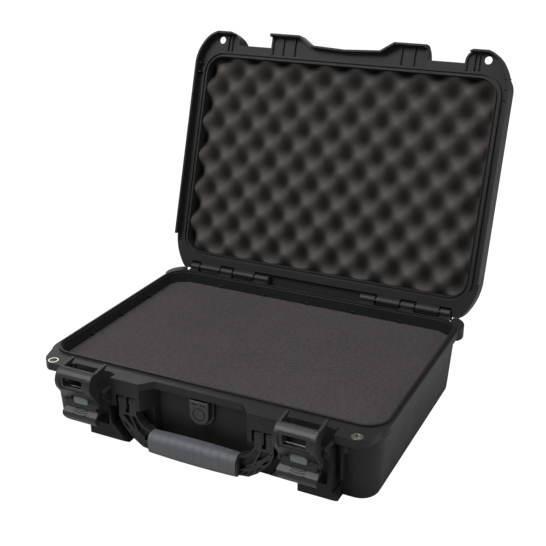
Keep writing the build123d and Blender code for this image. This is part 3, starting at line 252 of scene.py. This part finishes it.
def crate_foam():
    finish = Finish("crate_foam", Roughness=0.95, Specular_IOR_Level=0.1)
    grain = finish.noise(800.0, 3.0, 0.7)
    # Painted shade: the colour darkens with depth below the crests, so the pits are painted dark,
    # mixed with a random grain tone.
    facing = (0.0, sin(LID_ANGLE), cos(LID_ANGLE))
    dot = {"operation": "DOT_PRODUCT"}
    depth = finish.add("ShaderNodeVectorMath", dot, (finish.place, facing), output=1)
    rim_depth = Vector(facing).dot(HINGE) - HINGE_RISE
    deepest = rim_depth + CRATE_MIDDLE + CRATE_AMPLITUDE
    height = (deepest - depth) * (0.5 / CRATE_AMPLITUDE)
    painted_pit_shade = height.clamped().power(0.8) * 0.75 + grain * 0.25
    finish.feed("Base Color", finish.mix(painted_pit_shade, (0.007, 0.006, 0.006, 1), (0.085, 0.077, 0.071, 1)))
    finish.feed("Normal", foam_cells(finish, 0.5))
    return finish.material


def plain(name, color, roughness, metallic=0.0, grain_scale=900.0, grain_strength=0.2):
    """A small part's finish: slight tone change and a fine grain."""
    finish = Finish(name, Roughness=roughness, Metallic=metallic)
    tone = finish.noise(90.0, 3.0)
    darker = tuple(channel * 0.85 for channel in color[:3]) + (1,)
    finish.feed("Base Color", finish.mix(tone, darker, color))
    finish.feed("Roughness", tone * 0.1 + (roughness - 0.05))
    grain = finish.noise(grain_scale, 2.0)
    finish.feed("Normal", finish.bump(grain, grain_strength, 0.00008, finish.rounded(0.0003)))
    return finish.material


finishes = {
    "shell_resin": shell_resin(),
    "latch_resin": latch_resin(),
    "button_resin": button_resin(),
    "grip_rubber": grip_rubber(),
    "pick_foam": pick_foam(),
    "crate_foam": crate_foam(),
    "gasket_rubber": plain("gasket_rubber", (0.012, 0.012, 0.012, 1), 0.6),
    "sleeve_metal": plain("sleeve_metal", (0.62, 0.59, 0.54, 1), 0.28, 1.0, 400.0, 0.1),
    "pin_metal": plain("pin_metal", (0.2, 0.195, 0.19, 1), 0.42, 1.0, 700.0, 0.15),
    "vent_resin": plain("vent_resin", (0.024, 0.024, 0.024, 1), 0.42),
    "membrane": plain("membrane", (0.7, 0.7, 0.68, 1), 0.8),
}

for subpart in frame["record"]["subparts"]:
    node = nodes[subpart["node"]]
    node.data.materials.clear()
    node.data.materials.append(finishes[subpart["material_slot"]])


# ---- Mesh helpers ------------------------------------------------------------------
def new_piece(name, vertices, faces, slot, body, smooth=True):
    mesh = bpy.data.meshes.new(name)
    mesh.from_pydata([tuple(vertex) for vertex in vertices], [], faces)
    mesh.polygons.foreach_set("use_smooth", [smooth] * len(mesh.polygons))
    mesh.materials.append(finishes[slot])
    mesh.update()
    piece = bpy.data.objects.new(name, mesh)
    bpy.context.collection.objects.link(piece)
    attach(piece, body)
    return piece


def rounded_half_length(y, half_length, half_width, corner):
    """Half length of a rounded rectangle at one y."""
    over = abs(y) - (half_width - corner)
    if over <= 0:
        return half_length
    over = min(over, corner)
    return half_length - corner + (corner * corner - over * over) ** 0.5


def foam_block(half_length, half_width, corner, surface, back, back_inset, counts, place):
    """Vertices and faces of a closed foam block: a shaped face, a flat back and a border."""
    columns, rows = counts
    front_points = []
    back_points = []
    shrink_x = 1 - back_inset / half_length
    shrink_y = 1 - back_inset / half_width
    for row in range(rows + 1):
        y = half_width * (2 * (row / rows) - 1)
        reach = rounded_half_length(y, half_length, half_width, corner)
        for column in range(columns + 1):
            x = reach * (2 * column / columns - 1)
            front_points.append(place(x, y, surface(x, y)))
            back_points.append(place(x * shrink_x, y * shrink_y, back))
    count = len(front_points)
    width = columns + 1
    faces = []
    for row in range(rows):
        for column in range(columns):
            a = row * width + column
            quad = (a, a + 1, a + 1 + width, a + width)
            faces.append(quad)
            faces.append(tuple(count + index for index in reversed(quad)))
    border = list(range(width))
    border += [row * width + columns for row in range(1, rows + 1)]
    border += [rows * width + column for column in range(columns - 1, -1, -1)]
    border += [row * width for row in range(rows - 1, 0, -1)]
    for here, there in zip(border, border[1:] + border[:1]):
        faces.append((there, here, count + here, count + there))
    return front_points + back_points, faces


# ---- Egg-crate foam ----------------------------------------------------------------
def crate_rise(x, y):
    wave_x = cos(2 * pi * (x - CRATE_PIT[0]) / CRATE_PITCH[0])
    wave_y = cos(2 * pi * (y - CRATE_PIT[1]) / CRATE_PITCH[1])
    return CRATE_MIDDLE + CRATE_AMPLITUDE * wave_x * wave_y


def lid_foam():
    inset = FOAM_CLEARANCE
    back_inset = CRATE_BACK * sin(DRAFT)
    vertices, faces = foam_block(
        CAVITY_LENGTH / 2 - inset,
        CAVITY_WIDTH / 2 - inset,
        CAVITY_CORNER - inset,
        crate_rise,
        CRATE_BACK,
        back_inset,
        CRATE_COUNTS,
        lid_point,
    )
    piece = new_piece("crate_foam_sheet", vertices, faces, "crate_foam", "lid")
    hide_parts("lid_foam")


lid_foam()


# ---- Base foam ---------------------------------------------------------------------
def base_foam():
    for node_name, label in (
        ("pick_foam_top", "cubed_foam_top"),
        ("pick_foam_lower", "cubed_foam_lower"),
        ("base_foam_pad", "foam_floor_pad"),
    ):
        low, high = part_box(node_name)
        half_length = (high[0] - low[0]) / 2
        half_width = (high[1] - low[1]) / 2
        corner = CAVITY_CORNER - (CAVITY_LENGTH / 2 - half_length)
        thickness = high[2] - low[2]
        vertices, faces = foam_block(
            half_length,
            half_width,
            corner,
            lambda x, y: high[2],
            low[2],
            thickness * sin(DRAFT),
            FOAM_COUNTS,
            lambda x, y, z: (x, y, z),
        )
        piece = new_piece(label, vertices, faces, "pick_foam", "base", smooth=False)
        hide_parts(node_name)


base_foam()


# ---- Camera, light and floor -------------------------------------------------------
def add_camera():
    level = cos(CAMERA_ELEVATION)
    look = Vector(
        (
            -sin(CAMERA_AZIMUTH) * level,
            cos(CAMERA_AZIMUTH) * level,
            -sin(CAMERA_ELEVATION),
        )
    )
    data = bpy.data.cameras.new("camera")
    data.lens = CAMERA_LENS
    data.sensor_width = CAMERA_SENSOR
    camera = bpy.data.objects.new("camera", data)
    camera.location = CAMERA_PLACE
    camera.rotation_euler = look.to_track_quat("-Z", "Y").to_euler()
    bpy.context.collection.objects.link(camera)
    bpy.context.scene.camera = camera


def add_lamp(name, place, target, size, power):
    data = bpy.data.lights.new(name, "AREA")
    data.shape = "RECTANGLE"
    data.size, data.size_y = size
    data.energy = power
    lamp = bpy.data.objects.new(name, data)
    lamp.location = place
    aim = Vector(target) - Vector(place)
    lamp.rotation_euler = aim.to_track_quat("-Z", "Y").to_euler()
    bpy.context.collection.objects.link(lamp)


def add_floor():
    """A white floor that keeps the shadow and shows white to the camera."""
    half = FLOOR_HALF
    corners = [(-half, -half, 0), (half, -half, 0), (half, half, 0), (-half, half, 0)]
    mesh = bpy.data.meshes.new("floor")
    mesh.from_pydata(corners, [], [(0, 1, 2, 3)])
    floor = bpy.data.objects.new("floor", mesh)
    bpy.context.collection.objects.link(floor)
    material = bpy.data.materials.new("floor_white")
    material.use_nodes = True
    tree = material.node_tree
    surface = tree.nodes["Principled BSDF"]
    surface.inputs["Base Color"].default_value = grey(FLOOR_GREY)
    surface.inputs["Roughness"].default_value = 1.0
    surface.inputs["Specular IOR Level"].default_value = 0.0
    glow = tree.nodes.new("ShaderNodeEmission")
    glow.inputs["Strength"].default_value = FLOOR_GLOW
    blend = tree.nodes.new("ShaderNodeMixShader")
    path = tree.nodes.new("ShaderNodeLightPath")
    amount = tree.nodes.new("ShaderNodeMath")
    amount.operation = "MULTIPLY"
    amount.inputs[1].default_value = FLOOR_GLOW_SHARE
    tree.links.new(path.outputs["Is Camera Ray"], amount.inputs[0])
    tree.links.new(amount.outputs[0], blend.inputs[0])
    tree.links.new(surface.outputs[0], blend.inputs[1])
    tree.links.new(glow.outputs[0], blend.inputs[2])
    tree.links.new(blend.outputs[0], tree.nodes["Material Output"].inputs["Surface"])
    mesh.materials.append(material)


def add_world():
    """White to the camera, and a weaker fill light to everything else."""
    world = bpy.data.worlds.new("world")
    bpy.context.scene.world = world
    world.use_nodes = True
    tree = world.node_tree
    background = tree.nodes["Background"]
    background.inputs["Color"].default_value = (1, 1, 1, 1)
    path = tree.nodes.new("ShaderNodeLightPath")
    strength = tree.nodes.new("ShaderNodeMapRange")
    strength.inputs["To Min"].default_value = WORLD_LIGHT
    strength.inputs["To Max"].default_value = 1.0
    tree.links.new(path.outputs["Is Camera Ray"], strength.inputs["Value"])
    tree.links.new(strength.outputs[0], background.inputs["Strength"])


add_camera()
add_floor()
add_world()
for lamp_row in LAMPS:
    add_lamp(*lamp_row)
bpy.context.scene.view_settings.view_transform = "Standard"
